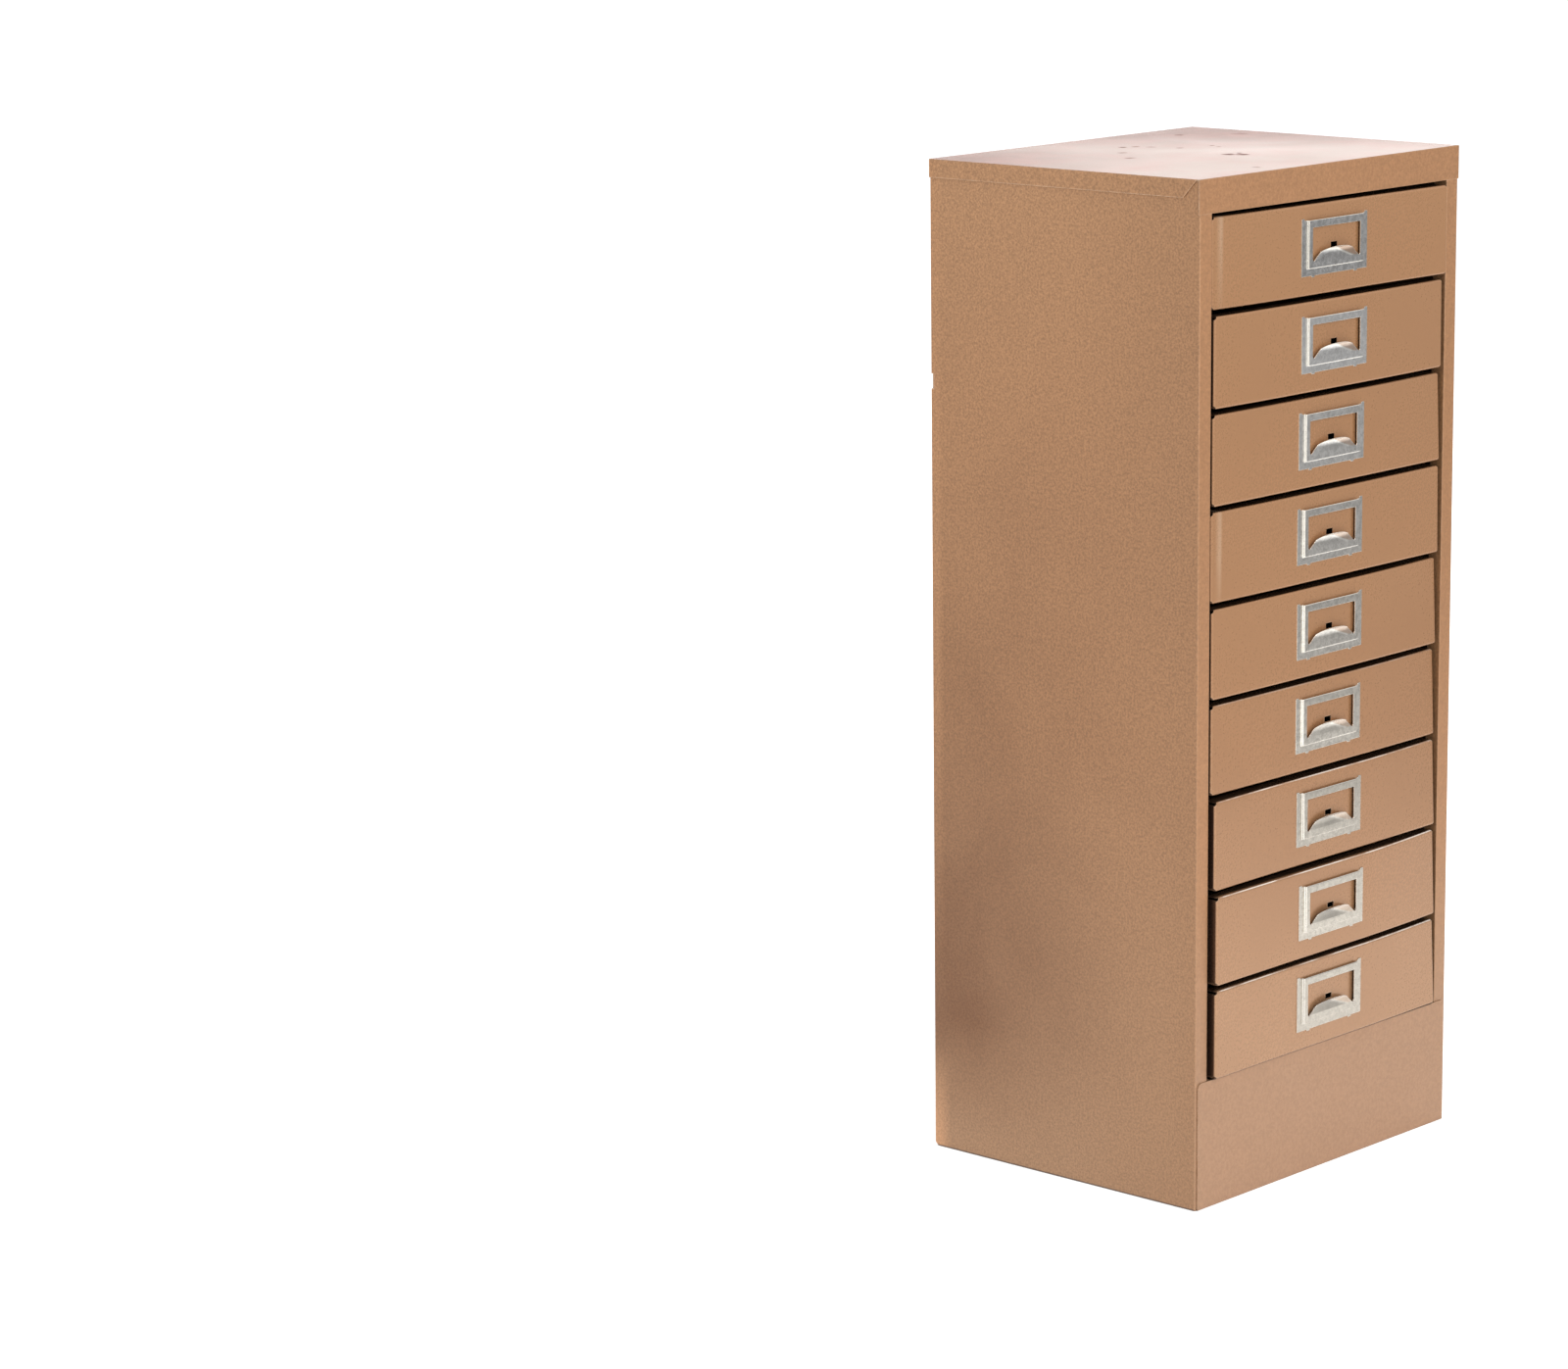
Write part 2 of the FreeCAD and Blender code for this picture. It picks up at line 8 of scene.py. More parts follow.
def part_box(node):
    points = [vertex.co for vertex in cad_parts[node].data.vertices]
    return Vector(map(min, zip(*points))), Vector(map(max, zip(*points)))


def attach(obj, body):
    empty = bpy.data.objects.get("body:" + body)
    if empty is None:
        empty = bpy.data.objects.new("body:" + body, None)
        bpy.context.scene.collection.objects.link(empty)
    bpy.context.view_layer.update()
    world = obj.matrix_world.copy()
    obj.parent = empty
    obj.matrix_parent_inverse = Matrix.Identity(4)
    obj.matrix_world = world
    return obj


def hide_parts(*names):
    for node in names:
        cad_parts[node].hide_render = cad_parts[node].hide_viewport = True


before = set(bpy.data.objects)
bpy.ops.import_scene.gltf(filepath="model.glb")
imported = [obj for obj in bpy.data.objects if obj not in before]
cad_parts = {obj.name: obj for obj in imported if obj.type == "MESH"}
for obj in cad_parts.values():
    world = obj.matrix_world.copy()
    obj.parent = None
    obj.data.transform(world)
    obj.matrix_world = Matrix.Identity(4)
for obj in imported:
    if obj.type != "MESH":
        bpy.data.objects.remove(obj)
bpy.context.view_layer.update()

MM = 0.001

# the case: its height, its front plane, the rear edge of its sides, the top of its kick plate
TOP_LEVEL = 940.0 * MM
CASE_FACE = -150.95 * MM
SIDE_REAR = 156.0 * MM
KICK_TOP = 119.5 * MM

# the drawers: the lowest front's foot, the step from one to the next, and the size of a front
DRAWERS = 9
FIRST_LEVEL = 120.5 * MM
PITCH = 87.75 * MM
HALF_FRONT = 171.5 * MM
FRONT_HEIGHT = 82.5 * MM

# a front's spring: the part that stays flat, how steeply its ends turn back, and how far behind
# the face the bend starts to fade and where it has gone
FLAT_MIDDLE = 50.0 * MM
SPRING_CURVE = 1.6
BEND_START = 14.0 * MM
BEND_END = 64.0 * MM

# a pull: its stand off the face, its finger lip's foot and half width, and how its lip is dished
LABEL_STAND = 3.2 * MM
PULL_FOOT = 14.4 * MM
LIP_HALF = 33.5 * MM
LIP_DISH = (0.30, 0.40)
LIP_SLOPE = 0.335

# the shade beside each label window: left and right edges, foot and head above the front's foot
WINDOW_LEFT = 37.0 * MM
WINDOW_RIGHT = 41.0 * MM
WINDOW_FOOT = 31.0 * MM
WINDOW_HEAD = 63.5 * MM

# where fronts and trays are cut into strips so that they bend, and pulls so that they dish, in millimetres:
# from the middle, up from a front's foot or a lip's foot, and back from a front's face
FRONT_ACROSS = [x for x in range(-168, 169, 12) if abs(x) > 48]
FRONT_UP = range(12, 73, 12)
FRONT_BACK = range(14, 65, 10)
LIP_ACROSS = range(-32, 33, 2)
LIP_UP = range(1, 14)

# meshing: the weld distance, the angle under which faces are joined, the angle over which edges stay sharp
WELD = 0.02 * MM
FLAT_ANGLE = math.radians(1)
SHARP_ANGLE = math.radians(32)

# the camera and the floor: beyond the line FADE_SLOPE, FADE_OFFSET the floor is out of view and darker
CAMERA_PLACE = (-3.53757, -2.77632, 1.38116)
CAMERA_RIGHT = (0.6814, -0.7318, -0.0118)
CAMERA_UP = (0.1577, 0.1311, 0.9787)
LENS = 111.6
SENSOR_WIDTH = 36.0
FLOOR_HALF = 40.0
FLOOR_LEVEL = -0.6 * MM
FADE_SLOPE = 0.672
FADE_OFFSET = 0.425

# paints, what shows through or lies on them, and the painted light and shade laid on them
TAN = (0.315, 0.160, 0.074)
FRONT_TAN = (0.335, 0.168, 0.078)
# the trays' tan is darker than the case's: painted shade for the inside of the case
TRAY_TAN_SHADED = (0.14, 0.072, 0.038)
CHIP_AND_HIGHLIGHT = (0.78, 0.60, 0.44)
FOLD_SHADE = (0.022, 0.012, 0.008)
CORNER_SHADE = (0.03, 0.015, 0.01)
GAP_SHADE = (0.012, 0.006, 0.004)
SLOT_SHADE = (0.012, 0.007, 0.005)
SEAM_SHADE = (0.05, 0.028, 0.018)
FOOT_SHADOW = (0.05, 0.03, 0.025)
FOLD_GLEAM = (1.0, 0.95, 0.88)
DENT_GLEAM = (0.75, 0.58, 0.42)
SCUFF = (0.60, 0.42, 0.30)
LID_SHEEN = (0.40, 0.29, 0.25)
LID_SHADE = (0.22, 0.10, 0.07)
LID_WASH = (0.42, 0.19, 0.15)
RUST = (0.07, 0.012, 0.008)
LIP_REFLECTION = (0.46, 0.30, 0.20)
PLATE_SPOT = (0.16, 0.13, 0.10)

# How far each drawer front's ends are sprung back from its middle, in millimetres:
# left end, right end, and how much farther the top right corner goes than the bottom one.
BOW = {
    1: (5.1, -2.6, 0.0),
    2: (2.8, 2.8, 0.5),
    3: (1.6, 2.4, 3.0),
    4: (2.4, 0.8, 1.0),
    5: (1.6, 3.5, 3.0),
    6: (1.2, 3.5, 3.0),
    7: (-1.6, 3.4, 3.0),
    8: (-0.7, 5.9, 3.0),
    9: (-1.0, 3.4, 3.5),
}

# Each pull's plating: the tone of its flats, how cloudy they are, how strongly its lip shows a painted
# reflection of the tan front, and how much painted shade lies on its lip.
PLATING = {
    1: (0.60, 0.85, 1.0, 0.0),
    2: (0.74, 0.60, 0.8, 0.0),
    3: (0.68, 0.70, 0.7, 0.0),
    4: (0.62, 0.70, 0.7, 0.0),
    5: (0.62, 0.75, 0.7, 0.0),
    6: (0.62, 0.70, 0.6, 0.2),
    7: (0.52, 0.50, 0.5, 0.5),
    8: (0.53, 0.35, 0.5, 0.85),
    9: (0.48, 0.30, 0.5, 0.8),
}


# ---------------------------------------------------------------- materials

class Recipe:
    """One material's node tree, with short calls for the nodes in it."""

    def __init__(self, name):
        self.material = bpy.data.materials.new(name)
        self.material.use_nodes = True
        self.tree = self.material.node_tree
        self.tree.nodes.clear()
        self.place = self.add("ShaderNodeTexCoord").outputs["Object"]

    def add(self, kind, inputs=None, **settings):
        node = self.tree.nodes.new(kind)
        for key, value in settings.items():
            setattr(node, key, value)
        for key, value in (inputs or {}).items():
            if isinstance(value, bpy.types.NodeSocket):
                self.tree.links.new(value, node.inputs[key])
            else:
                node.inputs[key].default_value = value
        return node

    def stretch(self, scale, turn=(0, 0, 0)):
        """Places turned and scaled unevenly, for streaks."""
        mapping = self.add("ShaderNodeMapping", {"Vector": self.place, "Scale": scale, "Rotation": turn})
        return mapping.outputs["Vector"]

    def noise(self, scale, detail=2.0, rough=0.5, place=None, warp=0.0):
        """A smooth random field, so many times finer than a metre."""
        node = self.add("ShaderNodeTexNoise", {
            "Vector": place or self.place, "Scale": scale, "Detail": detail,
            "Roughness": rough, "Distortion": warp})
        return node.outputs["Fac"]

    def span(self, value, low, high, to_low=0.0, to_high=1.0):
        """A value's way from one end to the other, 0 to 1 unless told otherwise; metres for places."""
        node = self.add("ShaderNodeMapRange", {
            "Value": value, "From Min": low, "From Max": high,
            "To Min": to_low, "To Max": to_high}, clamp=True)
        return node.outputs["Result"]

    def math(self, kind, first, second, clamp=False):
        node = self.add("ShaderNodeMath", {0: first, 1: second}, operation=kind, use_clamp=clamp)
        return node.outputs["Value"]

    def product(self, first, *others):
        """Several masks or numbers multiplied together."""
        for other in others:
            first = self.math("MULTIPLY", first, other)
        return first

    def mix(self, factor, first, second, blend="MIX"):
        """The first colour, with the second laid over it as far as the factor says."""
        node = self.add("ShaderNodeMix", {"Factor": factor}, data_type="RGBA", blend_type=blend)
        for index, value in ((6, first), (7, second)):
            if isinstance(value, bpy.types.NodeSocket):
                self.tree.links.new(value, node.inputs[index])
            else:
                node.inputs[index].default_value = (*value, 1.0)
        return node.outputs[2]

    def axes(self):
        """The place across (x), along (y) and up (z)."""
        split = self.add("ShaderNodeSeparateXYZ", {"Vector": self.place})
        return split.outputs

    def facing(self, axis):
        """How much the surface faces an axis."""
        normal = self.add("ShaderNodeNewGeometry").outputs["Normal"]
        dot = self.add("ShaderNodeVectorMath", {0: normal, 1: axis}, operation="DOT_PRODUCT")
        return dot.outputs["Value"]

    def edges(self, radius, low=0.02, high=0.25):
        """A mask of the folds and cut edges."""
        soft = self.add("ShaderNodeBevel", {"Radius": radius}, samples=4).outputs["Normal"]
        normal = self.add("ShaderNodeNewGeometry").outputs["Normal"]
        dot = self.add("ShaderNodeVectorMath", {0: soft, 1: normal}, operation="DOT_PRODUCT")
        return self.span(self.math("SUBTRACT", 1.0, dot.outputs["Value"]), low, high)

    def crevices(self, distance, low=0.1, high=0.45):
        """A mask of the narrow gaps, where little light gets in, for painted shade."""
        open_sky = self.add("ShaderNodeAmbientOcclusion", {"Distance": distance}, samples=6).outputs["AO"]
        return self.span(open_sky, low, high, 1.0, 0.0)

    def spot(self, centre, reach, ragged):
        """A soft blot at one place, its outline broken up by a noise."""
        offset = self.add("ShaderNodeVectorMath", {0: self.place, 1: centre}, operation="SUBTRACT")
        scaled = self.add("ShaderNodeVectorMath", {0: offset.outputs[0], 1: tuple(1 / r for r in reach)},
                          operation="MULTIPLY")
        far = self.add("ShaderNodeVectorMath", {0: scaled.outputs[0]}, operation="LENGTH")
        edge = self.math("ADD", far.outputs["Value"], self.math("MULTIPLY", ragged, 1.8))
        return self.span(edge, 1.15, 2.0, 1.0, 0.0)

    def finish(self, color, rough, metal, height, strength, depth, round_edges=0.0):
        """The material, its surface bumped by a height and, if asked, its edges shaded round."""
        surface = self.add("ShaderNodeBsdfPrincipled", {"Metallic": metal, "IOR": 1.5})
        self.tree.links.new(color, surface.inputs["Base Color"])
        self.tree.links.new(rough, surface.inputs["Roughness"])
        bump = self.add("ShaderNodeBump", {"Height": height, "Strength": strength, "Distance": depth})
        if round_edges:
            soft = self.add("ShaderNodeBevel", {"Radius": round_edges}, samples=4)
            self.tree.links.new(soft.outputs["Normal"], bump.inputs["Normal"])
        self.tree.links.new(bump.outputs["Normal"], surface.inputs["Normal"])
        out = self.add("ShaderNodeOutputMaterial")
        self.tree.links.new(surface.outputs[0], out.inputs["Surface"])
        return self.material


def scaled(tone, *shares):
    """A tone with each of its channels multiplied by a share of its own."""
    return [channel * share for channel, share in zip(tone, shares)]


def enamel(name, tone, grain, grain_size, gloss, stained=False, wear_and_highlight=0.5, folds=False):
    """Tan bronze enamel: flake speckle, slow cloudiness, painted light and shade, edge wear with a painted
    highlight and, on the lid, rust and scratches.
    """
    m = Recipe(name)
    along, up = m.axes()[1:3]
    cloud = m.noise(7.0, 4.0, 0.55, warp=0.6)
    sideways = m.span(m.math("ABSOLUTE", m.facing((1, 0, 0)), 0.0), 0.6, 0.95)
    color = m.mix(m.span(cloud, 0.3, 0.7, 0.0, 0.5), tone, scaled(tone, 0.88, 0.87, 0.88))

    # painted light: paler and bluer low down, where the floor throws light up, and a little paler high up
    color = m.mix(m.product(m.span(up, 0.42, 0.02), 0.8), color, scaled(tone, 0.97, 1.12, 1.34))
    color = m.mix(m.product(m.span(up, 0.70, 0.90), 0.7), color, scaled(tone, 1.12, 1.17, 1.22))
    color = shade_sides(m, color, tone, sideways, cloud)

    # the flakes show most high up
    speckle = m.noise(grain_size, 3.0, 0.7)
    flake = m.mix(m.span(speckle, 0.36, 0.64), [1 - grain] * 3, [1 + grain] * 3)
    color = m.mix(m.span(up, 0.05, 0.45, 0.75, 1.0), color, flake, "MULTIPLY")
    # chips along the edges, with a painted highlight laid along every fold and cut edge
    chips_and_highlight = m.product(m.edges(1.8 * MM), m.span(m.noise(140.0, 3.0), 0.35, 0.62, 0.35, 1.0))
    color = m.mix(m.product(chips_and_highlight, wear_and_highlight), color, CHIP_AND_HIGHLIGHT)
    if folds:
        color = shade_folds(m, color, tone, wear_and_highlight)
    else:
        color = shade_case(m, color, tone, sideways)
    streak = m.noise(1.0, 5.0, 0.7, m.stretch((60, 60, 900), (0.5, 0.3, 0.2)))
    scuffs = m.product(m.span(streak, 0.68, 0.78), m.span(m.noise(12.0), 0.5, 0.7))
    color = m.mix(m.product(scuffs, 0.15), color, SCUFF)

    uneven = 0.03 if folds else 0.065
    blend = m.math("ADD", m.product(speckle, 0.5), m.product(cloud, 0.5))
    rough = m.span(blend, 0.3, 0.7, gloss - uneven, gloss + uneven)
    if stained:
        color, rough = stain_lid(m, color, rough)
    height = m.noise(0.5 * grain_size, 1.0) if folds else speckle
    strength = 0.08 if folds else 0.3
    return m.finish(color, rough, metal=0.35, height=height, strength=strength, depth=0.3 * MM)


def shade_sides(m, color, tone, sideways, cloud):
    """The sides: painted shade at the lower rear, a pale rear edge with a paler, bluer foot, a slightly
    darker front.
    """
    along, up = m.axes()[1:3]
    # painted shade: the lower rear of each side darker, as if a dark neighbour stood beside it
    lower_rear_shade = m.product(m.span(along, -0.11, 0.11), m.span(up, 0.70, 0.20), m.span(up, 0.01, 0.13),
                      sideways, m.span(cloud, 0.25, 0.6, 0.65, 0.95))
    color = m.mix(lower_rear_shade, color, scaled(tone, 0.50, 0.43, 0.38))
    rim = m.product(m.span(along, SIDE_REAR - 8 * MM, SIDE_REAR), sideways, m.span(up, 0.15, 0.5))
    color = m.mix(m.product(rim, 0.6), color, scaled(tone, 1.15, 1.15, 1.15))
    corner = m.product(m.span(along, SIDE_REAR - 13 * MM, SIDE_REAR), sideways, m.span(up, 0.10, 0.01))
    color = m.mix(m.product(corner, 0.8), color, scaled(tone, 1.5, 1.55, 1.7))
    near = m.product(m.span(along, 0.0, -0.15), sideways)
    return m.mix(m.product(near, 0.5), color, scaled(tone, 0.82, 0.82, 0.82))


def shade_folds(m, color, tone, wear_and_highlight):
    """The drawer fronts: painted shade behind the face and at the left corners, a painted highlight on the
    top folds and on two bent fronts, painted shade in the label slots.
    """
    across, along, up = m.axes()
    color = m.mix(m.product(m.span(up, 0.40, 0.55), 0.6), color, scaled(tone, 1.12, 1.15, 1.18))

    # painted shade on the folds behind the case face, where little light gets in
    flank = m.span(m.facing((0, -1, 0)), 0.45, 0.1)
    hidden = m.product(flank, m.span(along, CASE_FACE - 4.0 * MM, CASE_FACE - 0.5 * MM))
    color = m.mix(m.product(hidden, 0.92), color, FOLD_SHADE)
    # painted shade at the left end of each front's folds
    corner = m.product(m.span(across, -166 * MM, -169 * MM), flank)
    color = m.mix(m.product(corner, 0.85), color, CORNER_SHADE)

    # painted highlight on the lower drawers' top folds, in places
    upward = m.facing((0, 0, 1))
    lit = m.product(m.span(upward, 0.50, 0.70), m.span(upward, 0.97, 0.88), m.span(up, 0.50, 0.36),
                    m.span(across, -167 * MM, -160 * MM), m.span(m.noise(30.0, 3.0), 0.38, 0.55, 0.2, 1.0))
    color = m.mix(m.product(lit, wear_and_highlight), color, FOLD_GLEAM)

    # the narrow shade behind the right side of each label frame
    level = m.math("FLOORED_MODULO", m.math("SUBTRACT", up, FIRST_LEVEL), PITCH)
    slot = m.product(m.span(across, WINDOW_LEFT, WINDOW_LEFT + 0.6 * MM),
                     m.span(across, WINDOW_RIGHT, WINDOW_RIGHT - 1.0 * MM),
                     m.span(level, WINDOW_FOOT, WINDOW_FOOT + 2.0 * MM),
                     m.span(level, WINDOW_HEAD, WINDOW_HEAD - 1.0 * MM))
    color = m.mix(slot, color, SLOT_SHADE)

    # painted highlight where the first and fourth fronts are bent near their left ends
    bent = m.product(m.span(across, -166 * MM, -160 * MM), m.span(across, -156 * MM, -159 * MM))
    fourth = m.product(m.span(up, 0.55, 0.60), m.span(up, 0.645, 0.640))
    either = m.math("MAXIMUM", fourth, m.span(up, 0.81, 0.89))
    return m.mix(m.product(bent, either, 0.24), color, DENT_GLEAM)


def shade_case(m, color, tone, sideways):
    """The case: painted light on its front, paler and bluer low down, and painted shade along its seams, in
    its gaps and along its foot.
    """
    across, along, up = m.axes()
    frontal = m.span(m.facing((0, -1, 0)), 0.6, 0.95)
    # painted light: the faces that look forward paler
    color = m.mix(m.product(frontal, 0.6), color, scaled(tone, 1.24, 1.20, 1.20))
    # painted floor bounce: the front paler and bluer low down
    floor_bounce = m.product(frontal, m.span(up, 0.30, 0.10))
    color = m.mix(m.product(floor_bounce, 0.7), color, scaled(tone, 0.96, 1.12, 1.45))
    speck = m.mix(m.span(m.noise(300.0, 3.0, 0.7), 0.36, 0.64), [0.90] * 3, [1.10] * 3)
    color = m.mix(m.product(frontal, m.span(up, 0.30, 0.9, 0.8, 1.0)), color, speck, "MULTIPLY")

    seam = m.product(m.span(up, KICK_TOP - 1.1 * MM, KICK_TOP - 0.3 * MM),
                     m.span(up, KICK_TOP + 2.0 * MM, KICK_TOP + 1.0 * MM),
                     m.span(m.math("ABSOLUTE", across, 0.0), HALF_FRONT - 1.0 * MM, HALF_FRONT - 1.5 * MM),
                     m.span(along, -0.10, -0.12))
    color = m.mix(m.product(seam, 0.6), color, SEAM_SHADE)
    # painted shadow along the foot of the sides, where they meet the floor
    foot_shadow = m.product(m.span(up, 1.6 * MM, 0.8 * MM), sideways)
    color = m.mix(m.product(foot_shadow, 0.8), color, FOOT_SHADOW)
    # painted shade in the narrow gaps between the parts
    gap = m.product(m.crevices(12 * MM), m.math("SUBTRACT", 1.0, sideways))
    return m.mix(m.product(gap, 0.9), color, GAP_SHADE)


# Where the rust blots sit on the lid and how far they reach, in millimetres, with how dark they are.
STAINS = [
    ((-6.6, 87.3), (4.0, 4.5), 0.8), ((4.8, 81.2), (6.0, 4.0), 0.35), ((11.0, 68.0), (5.0, 6.0), 0.3),
    ((117.9, 118.6), (5.5, 5.0), 0.7), ((19.3, 40.5), (4.5, 4.0), 0.5), ((-47.5, 55.2), (6.0, 5.0), 0.35),
    ((-80.9, 17.8), (7.0, 5.0), 0.45), ((55.4, 30.7), (2.6, 2.6), 0.6), ((50.3, 18.6), (3.5, 2.5), 0.35),
    ((162.1, 81.0), (12.0, 12.0), 0.25), ((-1.0, -33.5), (7.0, 7.0), 0.75), ((5.5, -44.0), (7.0, 8.0), 0.7),
    ((14.1, -33.9), (3.2, 3.2), 1.0), ((-78.9, -124.7), (3.0, 5.0), 0.6),
]


def stain_lid(m, color, rough):
    """The flat top: its painted sheen, painted shade towards the rear and the left, washed-out areas, and
    the rust blots.
    """
    across, along, up = m.axes()
    lid = m.product(m.span(m.facing((0, 0, 1)), 0.9, 0.98),
                    m.span(up, TOP_LEVEL - 1.5 * MM, TOP_LEVEL - 0.5 * MM))
    # painted sheen: the flat top lighter and pinker
    color = m.mix(m.product(lid, 0.8), color, LID_SHEEN)
    # painted shade: the top darker towards its rear and its left, where it is also made a little rougher
    rear = m.span(m.math("ADD", across, along), 0.02, 0.24)
    left = m.product(m.span(across, 0.0, -0.17), m.span(along, -0.06, 0.12))
    dull_and_shade = m.product(m.math("MAXIMUM", rear, left), lid, 0.9)
    color = m.mix(dull_and_shade, color, LID_SHADE)
    wash = m.product(m.span(m.noise(16.0, 4.0, 0.65), 0.42, 0.68), lid)
    color = m.mix(m.product(wash, 0.5), color, LID_WASH)

    ragged = m.noise(160.0, 4.0, 0.7)
    rust = 0.0
    for (x, y), (wide, deep), depth in STAINS:
        centre = (x * MM, y * MM, TOP_LEVEL)
        blot = m.spot(centre, (wide * MM, deep * MM, 20 * MM), ragged)
        rust = m.math("MAXIMUM", rust, m.product(blot, depth))
    rust = m.product(rust, lid)
    color = m.mix(m.product(rust, 0.95), color, RUST)
    rougher = m.product(m.math("MAXIMUM", rust, m.product(dull_and_shade, 0.12)), 0.6)
    return color, m.math("ADD", rough, rougher, True)


def plating(name, foot, tone, cloudy, tan_reflection, lip_shade):
    """Worn plating: cloudy flats, folds bright from rubbing, a painted highlight on folds and turned faces,
    and on the lip's right a painted reflection of the tan front above painted shade.
    """
    m = Recipe(name)
    cloud = m.noise(210.0, 5.0, 0.75, warp=0.8)
    brush = m.noise(1.0, 4.0, 0.6, m.stretch((300, 300, 1500)))
    warm = min(1.0, max(0.0, (0.75 - foot) / 0.4))
    flat = [tone, tone * (0.985 - 0.06 * warm), tone * (0.965 - 0.16 * warm)]
    bright = min(0.93, tone * 1.5)
    rubbed_and_lit = [bright, bright * 0.965, bright * (0.92 - 0.06 * tan_reflection)]
    turned = m.span(m.facing((0, -1, 0)), 0.97, 0.80)
    color = m.mix(m.product(m.span(cloud, 0.42, 0.58), cloudy), flat, [c * 0.52 for c in flat])
    color = m.mix(m.span(brush, 0.4, 0.65, 0.0, 0.3), color, [c * 0.55 for c in flat])
    # painted highlight on the faces turned away from the front
    color = m.mix(turned, color, rubbed_and_lit)

    # on the lip, the height above a line that climbs to its left end marks the painted reflection of the
    # tan front and, just below it, a painted highlight line
    across, along, up = m.axes()
    slant = m.math("ADD", m.math("SUBTRACT", up, foot), m.product(across, LIP_SLOPE))
    inside = m.product(m.span(across, 33 * MM, 31 * MM), m.span(up, foot + 0.4 * MM, foot + 1.2 * MM),
                       m.span(up, foot + 15 * MM, foot + 14.5 * MM))
    tan = m.product(m.span(slant, 9.0 * MM, 10.6 * MM), inside)
    color = m.mix(m.product(tan, 0.85 * tan_reflection), color, LIP_REFLECTION)
    rim = m.product(m.span(slant, 7.6 * MM, 8.6 * MM), m.span(slant, 9.8 * MM, 9.0 * MM), inside)
    color = m.mix(m.product(rim, 0.7 * tan_reflection ** 2), color, rubbed_and_lit)
    color = m.mix(m.span(m.noise(420.0, 2.0), 0.66, 0.74, 0.0, 0.45), color, PLATE_SPOT)

    # painted shade on the rest of the lip, darker still in the middle
    raised = m.product(m.span(slant, 9.6 * MM, 6.8 * MM), inside, m.span(across, -35 * MM, -32 * MM))
    color = m.mix(m.product(raised, lip_shade), color, [c * 0.55 for c in flat])
    middle_dark = m.product(raised, m.span(across, -26 * MM, -6 * MM), m.span(across, 22 * MM, 4 * MM),
                       m.span(m.noise(90.0, 3.0), 0.3, 0.6, 0.4, 0.9), 1.2 - 0.95 * tan_reflection)
    color = m.mix(middle_dark, color, [c * (0.56 - 0.25 * lip_shade) for c in flat])
    # the edges bright from rubbing, with a painted highlight laid on them
    color = m.mix(m.product(m.edges(0.9 * MM, 0.01, 0.2), 0.85), color, rubbed_and_lit)

    blend = m.math("ADD", m.product(cloud, 0.6), m.product(brush, 0.4))
    rough = m.span(blend, 0.35, 0.65, 0.14, 0.30)
    return m.finish(color, rough, metal=0.95, height=m.math("ADD", brush, cloud), strength=0.2,
                    depth=0.05 * MM, round_edges=0.5 * MM)


def steel(name, tone):
    """Plain grey steel, slightly mottled."""
    m = Recipe(name)
    cloud = m.noise(40.0, 4.0, 0.7)
    grain = m.noise(900.0, 2.0)
    color = m.mix(m.span(cloud, 0.35, 0.65), tone, [c * 0.6 for c in tone])
    rough = m.span(grain, 0.3, 0.7, 0.38, 0.6)
    return m.finish(color, rough, metal=0.85, height=grain, strength=0.2, depth=0.05 * MM)


CASE = enamel("case_enamel", TAN, 0.23, 450.0, 0.40, wear_and_highlight=0.6)
LID = enamel("lid_enamel", TAN, 0.23, 450.0, 0.40, stained=True)
FRONTS = enamel("front_enamel", FRONT_TAN, 0.06, 420.0, 0.28, wear_and_highlight=0.7, folds=True)
TRAYS = enamel("tray_enamel", TRAY_TAN_SHADED, 0.08, 900.0, 0.45, wear_and_highlight=0.1)
RUNNERS = steel("runner_metal", (0.34, 0.33, 0.31))
SCREWS = steel("screw_metal", (0.50, 0.49, 0.47))


def dress(piece, material):
    """The material becomes the piece's only one."""
    piece.data.materials.clear()
    piece.data.materials.append(material)


# ---------------------------------------------------------------- drawers

def planes(axis, start, steps):
    """Cutting planes square to one axis, so many millimetres from a start."""
    normal = Vector([float(index == axis) for index in range(3)])
    return [(normal * (start + step * MM), normal) for step in steps]


def sprung(point, face, level, bow):
    """Where a point of a drawer's front end lies once its sheet has sprung out of true."""
    left, right, corner = bow
    reach = max(0.0, abs(point.x) - FLAT_MIDDLE) / (HALF_FRONT - FLAT_MIDDLE)
    ease = reach ** SPRING_CURVE
    back = (left if point.x < 0 else right) * ease
    if point.x > 0:
        back += corner * ease * ((point.z - level) / FRONT_HEIGHT - 0.5)
    fade = min(1.0, max(0.0, (BEND_END - (point.y - face)) / (BEND_END - BEND_START)))
    fade = fade * fade * (3 - 2 * fade)
    return Vector((point.x, point.y + back * MM * fade, point.z))


def reshape(node, name, body, cuts, moved):
    """A drawer piece as its CAD node, cut into strips, each of its points then moved."""
    mesh = bmesh.new()
    mesh.from_mesh(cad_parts[node].data)
    bmesh.ops.remove_doubles(mesh, verts=mesh.verts, dist=WELD)
    bmesh.ops.dissolve_limit(mesh, angle_limit=FLAT_ANGLE, verts=mesh.verts, edges=mesh.edges)
    for place, normal in cuts:
        everything = mesh.verts[:] + mesh.edges[:] + mesh.faces[:]
        bmesh.ops.bisect_plane(mesh, geom=everything, plane_co=place, plane_no=normal)
    points = [moved(vertex.co)[:] for vertex in mesh.verts]
    mesh.verts.index_update()
    faces = [[vertex.index for vertex in polygon.verts] for polygon in mesh.faces]
    mesh.free()
    made = bpy.data.meshes.new(name)
    made.from_pydata(points, [], faces)
    made.shade_smooth()
    made.set_sharp_from_angle(angle=SHARP_ANGLE)
    piece = bpy.data.objects.new(name, made)
    bpy.context.scene.collection.objects.link(piece)
    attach(piece, body)
    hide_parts(node)
    return piece


